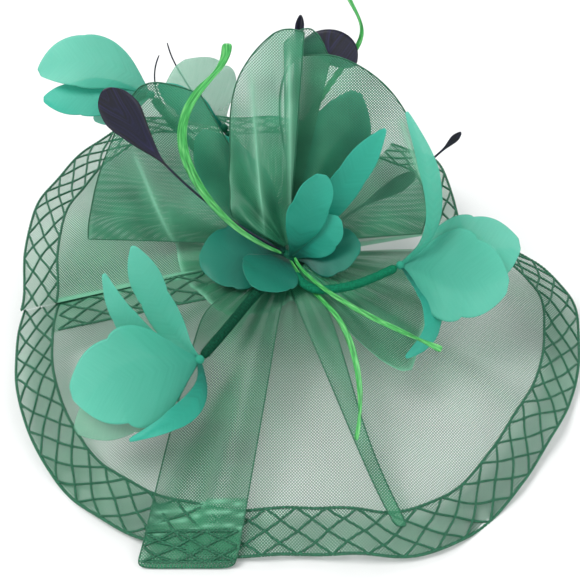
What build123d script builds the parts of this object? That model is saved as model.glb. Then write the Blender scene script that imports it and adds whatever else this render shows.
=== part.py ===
from build123d import *
import os
from math import atan2, cos, degrees, hypot, pi, radians, sin

# A fascinator headpiece, in millimetres. The origin is the centre of the felt pad's underside,
# where it sits on the hair. +Z points up out of the crown and -Y points to the wearer's front.

# --- base pad and hair clip
PAD_RADIUS = 35
PAD_THICKNESS = 3
BUCKRAM_RADIUS = 32
BUCKRAM_THICKNESS = 1.2
BINDING_RADIUS = 6
BINDING_TOP = 17
CLIP_WIDTH = 8
CLIP_PLATE = 0.8
CLIP_FRONT = -24
CLIP_BACK = 21
PIN_X = 5
PIN_Z = -4.2
PIN_RADIUS = 0.9
PIN_CLEARANCE = 0.05
EAR_RADIUS = 2.2
EAR_PLATE = 0.7
JAW_REST_TIP_Z = -1.1
JAW_GAP = 0.35
COIL_RADIUS = 1.9
COIL_LENGTH = 3.2
STITCH = 0.5
STITCH_PLACES = (-13, -3)

# --- crin (stiff nylon mesh braid)
CRIN = 1.2
BRIM_INNER = 14
BRIM_FLAT = 34
BRIM_HEIGHT = 5.6
BORDER_WIDTH = 34
SEAM = 0.4
BRIM_STEP = 6
TAIL_LIFT = 3.5
FAN_ORIGIN = (0, 14, 12)
FAN_LEAN = 20
FAN_INNER = 13
FAN_STEP = 5

# Edge of each brim panel: bearing in degrees from +X, reach from the centre, drop below the gather.
FRONT_EDGE = [(-178, 236, 48), (-160, 244, 56), (-146, 250, 64), (-133, 254, 68), (-115, 254, 68),
              (-100, 246, 66), (-88, 240, 64), (-78, 248, 66), (-68, 262, 70), (-57, 262, 70),
              (-46, 257, 68), (-36, 253, 67), (-20, 258, 64), (0, 262, 62), (11, 254, 62), (18, 230, 56)]
BACK_LEFT_EDGE = [(66, 232, 22), (90, 240, 22), (112, 262, 15), (127, 274, 10), (147, 264, 10),
                  (162, 252, 18), (178, 238, 44)]
BACK_RIGHT_EDGE = [(20, 170, 12), (30, 180, 11), (37, 194, 11), (45, 212, 12), (54, 222, 16), (62, 226, 20)]

# Outline of each upright fan: angle in degrees in its own plane from +X, reach from the fans' origin.
LEFT_FAN = [(118, 150), (122, 164), (126, 178), (130, 186), (138, 178), (149, 172), (166, 170), (178, 173)]
CENTRE_FAN = [(86, 183), (89, 191), (94, 182), (99, 169), (106, 150), (112, 124), (118, 98), (133, 70),
              (148, 55)]
RIGHT_FAN = [(6, 115), (19, 126), (31, 133), (48, 149), (59, 159), (66, 164), (73, 167), (79, 168), (88, 162)]
BACK_FAN = [(78, 160), (81, 180), (84, 186), (88, 184), (91, 170)]

# --- feather petals, stems, feathers and quills
PETAL = 1.0
LEAF_COLUMNS = (-1, -0.55, 0, 0.55, 1)
PETAL_FOOT = 3.0
NECK_RADIUS = 4.5
STEM_RADIUS = 4.0
STEM_GAP = 0.3
PETAL_STAND = 0.4
QUILL_FOOT = 2.5
QUILL_THICKNESS = 1.6
SHAFT_WIDTH = 1.8
FEATHER_THICKNESS = 1.2


def save(node, solid):
    export_step(solid, f"parts/{node}.step")


# ---------------------------------------------------------------- sheets

def facet(*corners):
    return Face(Wire.make_polygon(corners))


def facing(rows, i, j):
    """Unit normal of a grid of points at row i, column j."""
    along = rows[min(i + 1, len(rows) - 1)][j] - rows[max(i - 1, 0)][j]
    across = rows[i][min(j + 1, len(rows[i]) - 1)] - rows[i][max(j - 1, 0)]
    return along.cross(across).normalized()


def sheet(rows, thickness):
    """A closed solid of flat facets, half its thickness on each side of a grid of points."""
    height, width = len(rows), len(rows[0])
    grid = [(i, j) for i in range(height) for j in range(width)]
    top = {(i, j): rows[i][j] + facing(rows, i, j) * (thickness / 2) for i, j in grid}
    under = {(i, j): rows[i][j] - facing(rows, i, j) * (thickness / 2) for i, j in grid}
    faces = []
    for side in (top, under):
        for i in range(height - 1):
            for j in range(width - 1):
                a, b, c, d = side[i, j], side[i, j + 1], side[i + 1, j + 1], side[i + 1, j]
                faces += [facet(a, b, c), facet(a, c, d)]
    rim = [(0, j) for j in range(width)] + [(i, width - 1) for i in range(1, height)]
    rim += [(height - 1, j) for j in range(width - 2, -1, -1)] + [(i, 0) for i in range(height - 2, 0, -1)]
    for here, after in zip(rim, rim[1:] + rim[:1]):
        faces += [facet(top[here], top[after], under[after]), facet(top[here], under[after], under[here])]
    solid = Solid(Shell(faces))
    return solid if solid.volume > 0 else Solid(Shell([-f for f in faces]))


def between(table, x):
    """The values that a table of (x, value, ...) holds at x, on straight lines between its entries."""
    for low, high in zip(table, table[1:]):
        if x <= high[0]:
            share = max(0, (x - low[0]) / (high[0] - low[0]))
            return [a + (b - a) * share for a, b in zip(low[1:], high[1:])]
    return list(table[-1][1:])


def stations(first, last, step):
    count = max(2, round(abs(last - first) / step))
    return [first + (last - first) * k / count for k in range(count + 1)]


# ---------------------------------------------------------------- crin

def brim_height(bearing, radius, edge):
    """Height of the brim's middle surface: flat over the pad, then falling to the edge."""
    reach, drop = between(edge, bearing)
    fall = max(0, radius - BRIM_FLAT) / (reach - BRIM_FLAT)
    return BRIM_HEIGHT - drop * fall ** 1.12


def brim_point(bearing, radius, edge, lift=0):
    angle = radians(bearing)
    return Vector(radius * cos(angle), radius * sin(angle), brim_height(bearing, radius, edge) + lift)


def brim_panel(name, edge, rings=5):
    """A gathered panel of the brim: its fine mesh, and the lattice border that continues it to the edge."""
    bearings = stations(edge[0][0], edge[-1][0], BRIM_STEP)
    mesh = [[brim_point(b, BRIM_INNER, edge) for b in bearings]]
    for k in range(rings + 1):
        share = k / rings
        mesh.append([brim_point(b, BRIM_FLAT + (between(edge, b)[0] - BORDER_WIDTH - BRIM_FLAT) * share, edge)
                     for b in bearings])
    border = []
    for inset in (BORDER_WIDTH - SEAM, BORDER_WIDTH / 2, 0):
        border.append([brim_point(b, between(edge, b)[0] - inset, edge) for b in bearings])
    save(f"{name}_mesh", sheet(mesh, CRIN))
    save(f"{name}_border", sheet(border, CRIN))


def fan(name, outline, forward=0, bow=0, rings=5):
    """An upright crin fan. forward moves its plane to the wearer's front, bow curves its top."""
    lean = radians(FAN_LEAN)
    up = Vector(0, sin(lean), cos(lean))
    front = Vector(0, -cos(lean), sin(lean))
    angles = stations(outline[0][0], outline[-1][0], FAN_STEP)
    rows = []
    for k in range(rings + 1):
        row = []
        for angle in angles:
            reach = between(outline, angle)[0]
            radius = FAN_INNER + (reach - FAN_INNER) * k / rings
            flat = Vector(radius * cos(radians(angle)), 0, 0) + up * (radius * sin(radians(angle)))
            row.append(Vector(*FAN_ORIGIN) + flat + front * (forward + bow * sin(pi * k / rings)))
        rows.append(row)
    save(name, sheet(rows, CRIN))


def tail(name, line, hang=()):
    """A strip of crin over the brim: (x, y, width) of its middle, then (x, y, z, width) past the edge."""
    sides = (-0.5, -0.25, 0, 0.25, 0.5)
    grid = []
    for x, y, width in line:
        row = []
        for side in sides:
            across = x + side * width
            height = brim_height(degrees(atan2(y, across)), hypot(across, y), FRONT_EDGE)
            row.append(Vector(across, y, height + TAIL_LIFT))
        grid.append(row)
    for x, y, z, width in hang:
        grid.append([Vector(x + side * width, y, z) for side in sides])
    save(name, sheet(grid, CRIN))


# ---------------------------------------------------------------- feathers

def leaf_outline(t, widest, blunt):
    """Share of full width at t from foot to tip."""
    if t < widest:
        return sin(pi / 2 * t / widest)
    return cos(pi / 2 * (t - widest) / (1 - widest)) ** blunt


def leaf(foot, tip, width, face, middle=None, cup=0.0, widest=0.62, blunt=0.55, rows=9):
    """A petal from foot to tip. face points out of its front, middle bends its line, cup lifts its sides."""
    foot, tip, face = Vector(*foot), Vector(*tip), Vector(*face)
    middle = Vector(*middle) if middle else (foot + tip) * 0.5
    control = middle * 2 - (foot + tip) * 0.5
    grid = []
    for k in range(rows):
        t = 0.99 * k / (rows - 1)
        centre = foot * (1 - t) ** 2 + control * (2 * t * (1 - t)) + tip * t ** 2
        along = (control - foot) * (1 - t) + (tip - control) * t
        side = along.cross(face).normalized()
        normal = side.cross(along).normalized()
        half = max(PETAL_FOOT, width * leaf_outline(t, widest, blunt)) / 2
        grid.append([centre + side * (half * s) + normal * (cup * half * s * s) for s in LEAF_COLUMNS])
    return sheet(grid, PETAL)


def ribbon(points, widths, face, thickness):
    """A flat strip along a smooth line through points, with its half widths as (share of length, value)."""
    line = Spline(*[Vector(*p) for p in points])
    face = Vector(*face)
    grid = []
    for k in range(25):
        t = k / 24
        side = (line % t).cross(face).normalized()
        half = between(widths, t)[0]
        grid.append([line @ t + side * (half * s) for s in (-1, 0, 1)])
    return sheet(grid, thickness)


def black_feather(points, vane, width, face):
    """A stripped shaft with a teardrop vane at its tip. vane is the vane's share of the length."""
    start = 1 - vane
    widths = [(0, SHAFT_WIDTH / 2), (start, SHAFT_WIDTH / 2), (start + 0.25 * vane, width * 0.22),
              (start + 0.65 * vane, width * 0.5), (start + 0.88 * vane, width * 0.4), (1, width * 0.12)]
    return ribbon(points, widths, face, FEATHER_THICKNESS)


def lime_quill(name, points, face, width, tip_width):
    """A flat goose quill, pinched just before its flared tip."""
    widths = [(0, QUILL_FOOT / 2), (0.25, width * 0.3), (0.55, width / 2), (0.8, width * 0.4),
              (0.88, width * 0.2), (1, tip_width / 2)]
    save(name, ribbon(points, widths, face, QUILL_THICKNESS))


def toward(start, end, distance):
    """The point at a distance from start towards end."""
    line = (Vector(*end) - Vector(*start)).normalized()
    return tuple(Vector(*start) + line * distance)


def stem(name, route, core):
    """A chenille-wrapped wire stem along a route of runs and arcs, ending just short of the neck."""
    end = toward(core, route[-1], NECK_RADIUS + STEM_GAP)
    points = [Vector(*p) for p in route] + [Vector(*end)]
    radii = []
    for before, corner, after in zip(points, points[1:], points[2:]):
        run, leave = corner - before, after - corner
        turn = radians(run.get_angle(leave))
        radii.append(0.45 * min(run.length, leave.length) / abs(sin(turn / 2) / cos(turn / 2)))
    path = FilletPolyline(*points, radius=radii)
    profile = Plane(origin=path @ 0, z_dir=path % 0) * Circle(STEM_RADIUS)
    save(name, sweep(profile, path=path))


def tied_leaf(core, tip, stand=PETAL_STAND, middle=None, **shape):
    """A petal tied to a neck: its foot stands off the neck's surface, on the way to its middle or tip."""
    foot = toward(core, middle or tip, NECK_RADIUS + stand)
    return leaf(foot, tip, middle=middle, **shape)


def flower(name, core, petals, route):
    """A satellite flower: a bound neck at the end of its stem, and the petals tied round the neck."""
    save(f"{name}_neck", Pos(*core) * Sphere(NECK_RADIUS))
    for petal, shape in petals.items():
        save(f"{name}_{petal}", tied_leaf(core, **shape))
    stem(f"{name}_stem", route, core)


# ---------------------------------------------------------------- base and clip

def base():
    pad = Pos(0, 0, PAD_THICKNESS / 2) * Cylinder(PAD_RADIUS, PAD_THICKNESS)
    save("felt_base_pad", fillet(pad.edges().group_by(Axis.Z)[-1], 0.8))
    buckram = Pos(0, 0, PAD_THICKNESS + BUCKRAM_THICKNESS / 2) * Cylinder(BUCKRAM_RADIUS, BUCKRAM_THICKNESS)
    save("buckram_disc", buckram)
    bottom = PAD_THICKNESS + BUCKRAM_THICKNESS
    height = BINDING_TOP - bottom
    binding = Pos(0, 0, bottom + height / 2) * Cylinder(BINDING_RADIUS, height)
    save("centre_binding", fillet(binding.edges().group_by(Axis.Z)[-1], 2.5))


def ear(y, top, bottom_z):
    """A clip ear round the pin, joined to its plate at top."""
    disc = Cylinder(EAR_RADIUS, EAR_PLATE, rotation=(90, 0, 0))
    web_height = abs(top - bottom_z)
    web = Pos(0, 0, (top + bottom_z) / 2 - PIN_Z) * Box(2 * EAR_RADIUS, EAR_PLATE, web_height)
    return Pos(PIN_X, y, PIN_Z) * (disc + web)


def jaw_plate(points, width):
    """A bent plate: an upper profile line in XZ, given its thickness downwards and its width in Y."""
    outline = points + [(x, z - CLIP_PLATE) for x, z in reversed(points)]
    face = make_face(Polyline(*[(x, 0, z) for x, z in outline], close=True))
    return extrude(face, amount=width / 2, dir=(0, 1, 0), both=True)


def clip():
    bore = Pos(PIN_X, 0, PIN_Z) * Cylinder(PIN_RADIUS + PIN_CLEARANCE, 2 * CLIP_WIDTH, rotation=(90, 0, 0))
    outer_y = CLIP_WIDTH / 2 - EAR_PLATE / 2
    inner_y = outer_y - EAR_PLATE - JAW_GAP
    upper = jaw_plate([(CLIP_FRONT, 0), (CLIP_BACK, 0)], CLIP_WIDTH)
    upper += ear(outer_y, -CLIP_PLATE / 2, PIN_Z) + ear(-outer_y, -CLIP_PLATE / 2, PIN_Z)
    save("clip_upper_jaw", upper - bore)
    heel_z = PIN_Z - EAR_RADIUS - 0.2
    lower = jaw_plate([(CLIP_FRONT, JAW_REST_TIP_Z), (CLIP_FRONT + 5, JAW_REST_TIP_Z - 0.5),
                       (PIN_X, heel_z), (CLIP_BACK + 1, heel_z - 2.6)],
                      CLIP_WIDTH - 2 * (EAR_PLATE + JAW_GAP))
    lower += ear(inner_y, PIN_Z, heel_z - CLIP_PLATE / 2) + ear(-inner_y, PIN_Z, heel_z - CLIP_PLATE / 2)
    save("clip_lower_jaw", lower - bore)
    pin = Pos(PIN_X, 0, PIN_Z) * Cylinder(PIN_RADIUS, CLIP_WIDTH + 1, rotation=(90, 0, 0))
    save("clip_hinge_pin", pin)
    coil = Cylinder(COIL_RADIUS, COIL_LENGTH, rotation=(90, 0, 0))
    coil -= Cylinder(PIN_RADIUS + PIN_CLEARANCE, 2 * COIL_LENGTH, rotation=(90, 0, 0))
    save("clip_spring", Pos(PIN_X, 0, PIN_Z) * coil)
    stitches = []
    for x in STITCH_PLACES:
        bar = Pos(x, 0, -CLIP_PLATE - STITCH / 2) * Box(STITCH, CLIP_WIDTH + 2.4 * STITCH, STITCH)
        for side in (-1, 1):
            leg_y = side * (CLIP_WIDTH / 2 + 0.7 * STITCH)
            leg = Box(STITCH, STITCH, CLIP_PLATE + STITCH)
            bar += Pos(x, leg_y, -(CLIP_PLATE + STITCH) / 2) * leg
        stitches.append(bar.solid())
    save("clip_stitches", Compound(stitches))


# ---------------------------------------------------------------- assembly

def crin():
    brim_panel("brim_front", FRONT_EDGE)
    brim_panel("brim_back_left", BACK_LEFT_EDGE)
    brim_panel("brim_back_right", BACK_RIGHT_EDGE)
    fan("fan_left", LEFT_FAN)
    fan("fan_centre", CENTRE_FAN, forward=7, bow=6)
    fan("fan_right", RIGHT_FAN, bow=-4)
    fan("fan_back", BACK_FAN, forward=-6, bow=-2)
    tail("tail_left", [(-7, -15, 14), (-16, -30, 34), (-36, -42, 64), (-42, -70, 66), (-48, -105, 68),
                       (-56, -150, 70), (-64, -195, 71), (-71, -238, 72)],
         hang=[(-73, -245, -60, 71), (-74, -248, -66, 69)])
    tail("tail_right", [(5, -15, 8), (12, -30, 20), (20, -52, 26), (35, -95, 20), (54, -155, 11),
                        (70, -195, 10), (84, -222, 10)])


def centre_flower():
    petals = {
        "petal_left": dict(foot=(-7, -3, 18), tip=(-75, -15, 22), width=56, face=(0, -0.4, 0.92), cup=0.12),
        "petal_front": dict(foot=(-3, -8, 19), tip=(-27, -50, 24), width=46, face=(-0.2, -0.6, 0.8), cup=0.15),
        "petal_twin": dict(foot=(4, -7, 22), tip=(27, 9, 95), width=32, face=(0.2, -0.9, 0.4), cup=0.2,
                           widest=0.72, blunt=0.4),
        "petal_low_right": dict(foot=(8, -2, 16), tip=(43, 0, 56), width=32, face=(0.1, -0.7, 0.7), cup=0.12),
        "petal_lance": dict(foot=(8, 2, 20), tip=(79, 35, 121), width=25, face=(0, -0.9, 0.4), cup=0.2,
                            widest=0.68, blunt=0.9),
        "petal_pale_right": dict(foot=(8, 3, 14), tip=(62, -2, 26), width=46, face=(0, -0.35, 0.94)),
        "petal_behind_left": dict(foot=(-9, 22, 9), tip=(-74, 54, 104), width=50, face=(0, -0.85, 0.5)),
        "petal_behind_right": dict(foot=(9, 24, 9), tip=(58, 84, 124), width=58, face=(0, -0.8, 0.6)),
    }
    for name, shape in petals.items():
        save(name, leaf(**shape))


def satellite_flowers():
    flower("right", (93, -25, 26), {
        "petal_tall": dict(tip=(91, 25, 145), middle=(117, -13, 77), width=18, face=(-0.3, -0.9, 0.3),
                           widest=0.66, blunt=0.8),
        "petal_front": dict(tip=(179, -50, 26), width=66, face=(0, -0.65, 0.76), cup=0.15),
        "petal_behind": dict(tip=(192, -15, 41), width=58, face=(0, -0.65, 0.76), cup=0.15, stand=5),
        "petal_small": dict(tip=(93, -97, -8), middle=(119, -65, 4), width=15, face=(0.4, -0.5, 0.75)),
    }, [(6, -24, 16), (14, -46, 17), (48, -45, 19), (76, -34, 23)])
    flower("lower_left", (-67, -121, 18), {
        "petal_big": dict(tip=(-161, -153, 17), width=66, face=(0, -0.65, 0.76), cup=0.15),
        "petal_pale": dict(tip=(-160, -166, -12), width=48, face=(0, -0.5, 0.86)),
        "petal_upright": dict(tip=(-116, -72, 92), middle=(-95, -93, 36), width=21, face=(0.1, -0.9, 0.4),
                              blunt=0.8),
        "petal_ragged": dict(tip=(-137, -88, 78), middle=(-115, -106, 31), width=19, face=(0.1, -0.9, 0.4),
                             blunt=0.8, stand=7.5),
        "petal_point": dict(tip=(-117, -182, -2), middle=(-72, -155, 4), width=15, face=(0.3, -0.5, 0.8),
                            blunt=0.9),
    }, [(-8, -24, 15), (-26, -46, 15.5), (-46, -84, 16)])
    flower("upper_left", (-118, 100, 109), {
        "petal_large": dict(tip=(-215, 113, 122), middle=(-163, 117, 131), width=44, face=(0, -0.8, 0.6),
                            cup=0.15),
        "petal_sheer": dict(tip=(-213, 104, 102), width=32, face=(0, -0.6, 0.8)),
        "petal_small": dict(tip=(-170, 96, 86), width=22, face=(0, -0.8, 0.6)),
    }, [(-14, 34, 12), (-44, 64, 38), (-88, 84, 70)])
    flower("middle_left", (-55, 80, 89), {
        "petal_round": dict(tip=(-92, 112, 134), width=62, face=(0, -0.7, 0.7)),
        "petal_band": dict(tip=(-108, 84, 130), width=22, face=(0, -0.9, 0.4)),
    }, [(-4, 38, 12), (-18, 58, 42), (-42, 70, 74)])


def feathers_and_quills():
    save("feather_left", black_feather([(-7, 2, 19), (-36, 2, 42), (-80, 14, 76), (-106, 26, 100),
                                        (-143, 42, 153)], 0.36, 34, (0, -0.9, 0.4)))
    tips = [[(-12, 40, 8), (-60, 100, 50), (-114, 118, 96), (-111, 129, 131)],
            [(-8, 46, 8), (-40, 98, 46), (-79, 118, 92), (-104, 134, 140)]]
    save("feather_tips", Compound([black_feather(points, vane, 4.5, (1, -0.3, 0))
                                   for points, vane in zip(tips, (0.14, 0.2))]))
    save("feather_top", black_feather([(0, 27, 8), (-3, 54, 88), (2, 84, 150), (14, 90, 161), (54, 79, 150)],
                                      0.28, 30, (0, -0.8, 0.6)))
    save("feather_upright", black_feather([(4, 46, 8), (6, 84, 88), (8, 106, 146), (10, 112, 178)],
                                          0.16, 10, (0.4, -0.8, 0.4)))
    save("feather_right", black_feather([(24, 19, 8), (50, 30, 32), (80, 42, 46), (110, 52, 62)],
                                        0.5, 15, (0, -0.5, 0.9)))
    save("feather_far", black_feather([(18, 24, 8), (60, 44, 28), (122, 72, 58), (148, 76, 88)],
                                      0.13, 9, (0.3, -0.8, 0.5)))
    lime_quill("quill_left", [(-6, -4, 21), (-34, -6, 42), (-76, 10, 92), (-84, 22, 120), (-69, 36, 155),
                              (-50, 44, 174), (-46, 50, 188)], (0, -0.8, 0.6), 8, 9)
    lime_quill("quill_top", [(7, 34, 8), (12, 74, 92), (50, 96, 146), (61, 102, 168), (51, 108, 190),
                             (45, 110, 202)], (0, -0.8, 0.6), 5, 4)
    lime_quill("quill_right", [(6, -10, 19), (14, -32, 24), (50, -68, 22), (86, -92, 20), (118, -113, 20)],
               (0, -0.6, 0.8), 4.5, 6)
    lime_quill("quill_front", [(2, -9, 16), (18, -36, 11), (40, -76, 16), (54, -132, 8), (50, -180, -4)],
               (0, -0.6, 0.8), 5, 3.5)


os.makedirs("parts", exist_ok=True)
base()
clip()
crin()
centre_flower()
satellite_flowers()
feathers_and_quills()
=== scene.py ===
from math import cos, pi, radians, sin

import bmesh
import bpy
import numpy as np
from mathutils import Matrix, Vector, bvhtree


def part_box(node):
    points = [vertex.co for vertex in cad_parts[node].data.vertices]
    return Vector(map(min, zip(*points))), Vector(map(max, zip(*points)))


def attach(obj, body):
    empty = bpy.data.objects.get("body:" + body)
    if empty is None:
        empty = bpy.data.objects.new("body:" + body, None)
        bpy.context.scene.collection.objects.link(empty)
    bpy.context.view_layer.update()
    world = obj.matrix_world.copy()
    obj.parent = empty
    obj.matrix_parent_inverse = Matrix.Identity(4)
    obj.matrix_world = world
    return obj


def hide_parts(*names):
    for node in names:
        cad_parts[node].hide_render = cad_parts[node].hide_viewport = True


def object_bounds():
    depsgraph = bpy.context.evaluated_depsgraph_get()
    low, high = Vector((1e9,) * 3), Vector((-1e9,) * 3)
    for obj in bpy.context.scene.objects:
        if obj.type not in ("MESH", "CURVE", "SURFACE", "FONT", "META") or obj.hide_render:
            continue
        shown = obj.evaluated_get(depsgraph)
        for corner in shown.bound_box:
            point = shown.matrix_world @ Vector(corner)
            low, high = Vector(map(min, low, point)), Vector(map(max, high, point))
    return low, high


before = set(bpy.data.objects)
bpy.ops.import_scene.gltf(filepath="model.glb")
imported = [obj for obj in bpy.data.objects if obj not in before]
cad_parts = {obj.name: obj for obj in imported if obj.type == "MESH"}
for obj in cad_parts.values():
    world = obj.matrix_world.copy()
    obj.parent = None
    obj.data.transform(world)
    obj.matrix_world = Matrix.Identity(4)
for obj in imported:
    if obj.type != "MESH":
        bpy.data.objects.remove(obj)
cad_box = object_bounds()

UP = np.array((0.0, 0.0, 1.0))

# --- repeated from the CAD, in metres and degrees; stem routes in millimetres
BRIM_FLAT = 0.034
BRIM_INNER = 0.014
BRIM_HEIGHT = 0.0056
BRIM_CURVE = 1.12
BORDER_WIDTH = 0.034
BRIM_STEP = 6
FAN_ORIGIN = np.array((0.0, 0.014, 0.012))
FAN_LEAN = radians(20)
FAN_STEP = 5
FAN_INNER = 0.004
STEM_RADIUS = 0.004
STEM_ROUTES = {
    "right": [(6, -24, 16), (14, -46, 17), (48, -45, 19), (76, -34, 23)],
    "lower_left": [(-8, -24, 15), (-26, -46, 15.5), (-46, -84, 16)],
    "upper_left": [(-14, 34, 12), (-44, 64, 38), (-88, 84, 70)],
    "middle_left": [(-4, 38, 12), (-18, 58, 42), (-42, 70, 74)],
}
MILLIMETRE = 0.001

# --- look of the crin: pitch of its weave, most of it that thread can cover, its hems and edge cords
WEAVE_PITCH = 0.0016
MOST_COVER = 0.95
HEM = 0.005
CORD_RADIUS = 0.0006
CORD_STEP = 0.002
EDGE_INSET = 0.001
YARN_TURN = 0.006
SELVEDGE_TURN = 0.007

# --- look of the petals, threads and stems
PETAL_THICKNESS = 0.0004
RUFFLE = 0.0016
FEATHER_THICKNESS = 0.0005
QUILL_THICKNESS = 0.0008
CELL = 0.026
YARN = 0.0007
NECK_SHARE = 0.8
STEM_STOP = 0.0032
CHENILLE_STEP = 0.0004
CHENILLE_RIDGE = 0.003
HAIRS_A_STEP = 18
HAIR_WIDTH = 0.00014

# Edge of the brim's folded-back layer: bearing in degrees and reach in millimetres.
COLLAR = [(-217, 139), (-205, 116), (-195, 102), (-180, 93), (-159, 80), (-131, 72), (-112, 60), (-88, 46),
          (-70, 46), (-57, 60), (-51, 120), (-47, 142), (-35, 131), (-15, 123), (18, 134)]


# ---------------------------------------------------------------- meshes

def corners_of(node):
    return np.array([v.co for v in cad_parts[node].data.vertices])


def points(mesh):
    out = np.empty(len(mesh.vertices) * 3)
    mesh.vertices.foreach_get("co", out)
    return out.reshape(-1, 3)


def normals(mesh):
    return np.array([v.normal for v in mesh.vertices])


def move(mesh, new_points):
    mesh.vertices.foreach_set("co", np.asarray(new_points, float).ravel())
    mesh.update()


def paint(mesh, name, values):
    """Stores one number for each corner of the mesh, for its material to read."""
    layer = mesh.attributes.new(name, "FLOAT", "POINT")
    layer.data.foreach_set("value", np.asarray(values, np.float32))


def piece(name, mesh, material, body, nodes=()):
    """A shown object with one material, riding on a body and standing for its CAD nodes."""
    for polygon in mesh.polygons:
        polygon.use_smooth = True
    mesh.materials.clear()
    mesh.materials.append(material)
    obj = bpy.data.objects.new(name, mesh)
    bpy.context.scene.collection.objects.link(obj)
    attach(obj, body)
    if nodes:
        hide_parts(*nodes)
    return obj


def grid_mesh(name, rows):
    """A mesh over a grid of points, an array of rows x columns x 3."""
    height, width, _ = rows.shape
    faces = []
    for i in range(height - 1):
        for j in range(width - 1):
            here = i * width + j
            faces.append((here, here + 1, here + width + 1, here + width))
    mesh = bpy.data.meshes.new(name)
    mesh.from_pydata(rows.reshape(-1, 3).tolist(), [], faces)
    mesh.update()
    return mesh


def tube(path, radius, sides=6):
    """Corners and faces of a closed tube along a path. radius is one value, or one for each point."""
    path = np.asarray(path, float)
    along = np.gradient(path, axis=0)
    along /= np.linalg.norm(along, axis=1)[:, None]
    side = np.cross(along[0], UP if abs(along[0][2]) < 0.9 else (1.0, 0.0, 0.0))
    across = []
    for direction in along:
        side = side - direction * side.dot(direction)
        side = side / np.linalg.norm(side)
        across.append(side)
    across = np.array(across)
    over = np.cross(along, across)
    turn = np.linspace(0, 2 * pi, sides, endpoint=False)
    ring = np.cos(turn)[None, :, None] * across[:, None] + np.sin(turn)[None, :, None] * over[:, None]
    reach = np.broadcast_to(radius, len(path))
    corners = (path[:, None] + ring * reach[:, None, None]).reshape(-1, 3)
    faces = []
    for i in range(len(path) - 1):
        for j in range(sides):
            a, b = i * sides + j, i * sides + (j + 1) % sides
            faces.append((a, b, b + sides, a + sides))
    faces.append(tuple(range(sides))[::-1])
    faces.append(tuple(range(len(path) * sides - sides, len(path) * sides)))
    return corners, faces


def joined(name, parts):
    """One mesh out of several (corners, faces) pairs."""
    corners, faces, start = [], [], 0
    for part_corners, part_faces in parts:
        corners.append(part_corners)
        faces += [tuple(start + k for k in face) for face in part_faces]
        start += len(part_corners)
    mesh = bpy.data.meshes.new(name)
    mesh.from_pydata(np.concatenate(corners).tolist(), [], faces)
    mesh.update()
    return mesh


def resampled(path, step):
    """The path again with points a step apart."""
    path = np.asarray(path, float)
    travelled = np.concatenate(([0], np.cumsum(np.linalg.norm(np.diff(path, axis=0), axis=1))))
    at = np.linspace(0, travelled[-1], max(2, round(travelled[-1] / step)) + 1)
    return np.stack([np.interp(at, travelled, path[:, k]) for k in range(3)], axis=1)


def two_ply(path, radius, twist):
    """Two strands of yarn twisted round each other along a path; twist is the length of one turn."""
    path = resampled(path, twist / 5)
    along = np.gradient(path, axis=0)
    along /= np.linalg.norm(along, axis=1)[:, None]
    across = np.cross(along, UP)
    across /= np.linalg.norm(across, axis=1)[:, None]
    over = np.cross(across, along)
    phase = np.arange(len(path)) * 2 * pi / 5
    parts = []
    for start in (0, pi):
        ring = np.cos(phase + start)[:, None] * across + np.sin(phase + start)[:, None] * over
        parts.append(tube(path + ring * radius * 0.75, radius, sides=5))
    return parts


def skin(node, front, levels):
    """One side of each solid of a thin CAD sheet, smoothed into a fine single surface."""
    bm = bmesh.new()
    bm.from_mesh(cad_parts[node].data)
    bmesh.ops.remove_doubles(bm, verts=bm.verts, dist=0.00002)
    bm.normal_update()
    front = Vector(front)
    waiting, kept = set(bm.faces), set()
    while waiting:
        solid = spread(next(iter(waiting)), pi + 1)
        waiting -= solid
        kept |= spread(max(solid, key=lambda face: face.normal.dot(front) * face.calc_area()), radians(55))
    bmesh.ops.delete(bm, geom=[face for face in bm.faces if face not in kept], context="FACES")
    bmesh.ops.join_triangles(bm, faces=bm.faces, angle_face_threshold=1.2, angle_shape_threshold=3)
    draft = bpy.data.meshes.new("draft")
    bm.to_mesh(draft)
    bm.free()
    return modified(draft, "SUBSURF", levels=levels, render_levels=levels)


def spread(seed, sharpest):
    """The faces reached from a face without crossing an edge sharper than an angle."""
    found, edge_of_search = {seed}, [seed]
    while edge_of_search:
        face = edge_of_search.pop()
        for edge in face.edges:
            if len(edge.link_faces) == 2 and edge.calc_face_angle() < sharpest:
                fresh = [f for f in edge.link_faces if f not in found]
                found.update(fresh)
                edge_of_search += fresh
    return found


def modified(mesh, kind, **settings):
    """The mesh with one modifier applied."""
    obj = bpy.data.objects.new("draft", mesh)
    bpy.context.scene.collection.objects.link(obj)
    modifier = obj.modifiers.new("draft", kind)
    for key, value in settings.items():
        setattr(modifier, key, value)
    depsgraph = bpy.context.evaluated_depsgraph_get()
    result = bpy.data.meshes.new_from_object(obj.evaluated_get(depsgraph))
    bpy.data.objects.remove(obj)
    return result


def edge_loops(mesh):
    """The mesh's open edges as closed lines of points."""
    bm = bmesh.new()
    bm.from_mesh(mesh)
    waiting = dict.fromkeys(edge for edge in bm.edges if len(edge.link_faces) == 1)
    loops = []
    while waiting:
        edge, _ = waiting.popitem()
        start, here = edge.verts
        line = [start.co.copy(), here.co.copy()]
        while here != start:
            edge = next(e for e in here.link_edges if e in waiting)
            del waiting[edge]
            here = edge.other_vert(here)
            line.append(here.co.copy())
        loops.append(np.array(line))
    bm.free()
    return loops


# ---------------------------------------------------------------- materials

def colour(red, green, blue):
    """Linear colour of an sRGB colour given in 0 to 255."""
    return tuple((c / 12.92 if c <= 0.04045 else ((c + 0.055) / 1.055) ** 2.4)
                 for c in (red / 255, green / 255, blue / 255)) + (1.0,)


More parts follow.
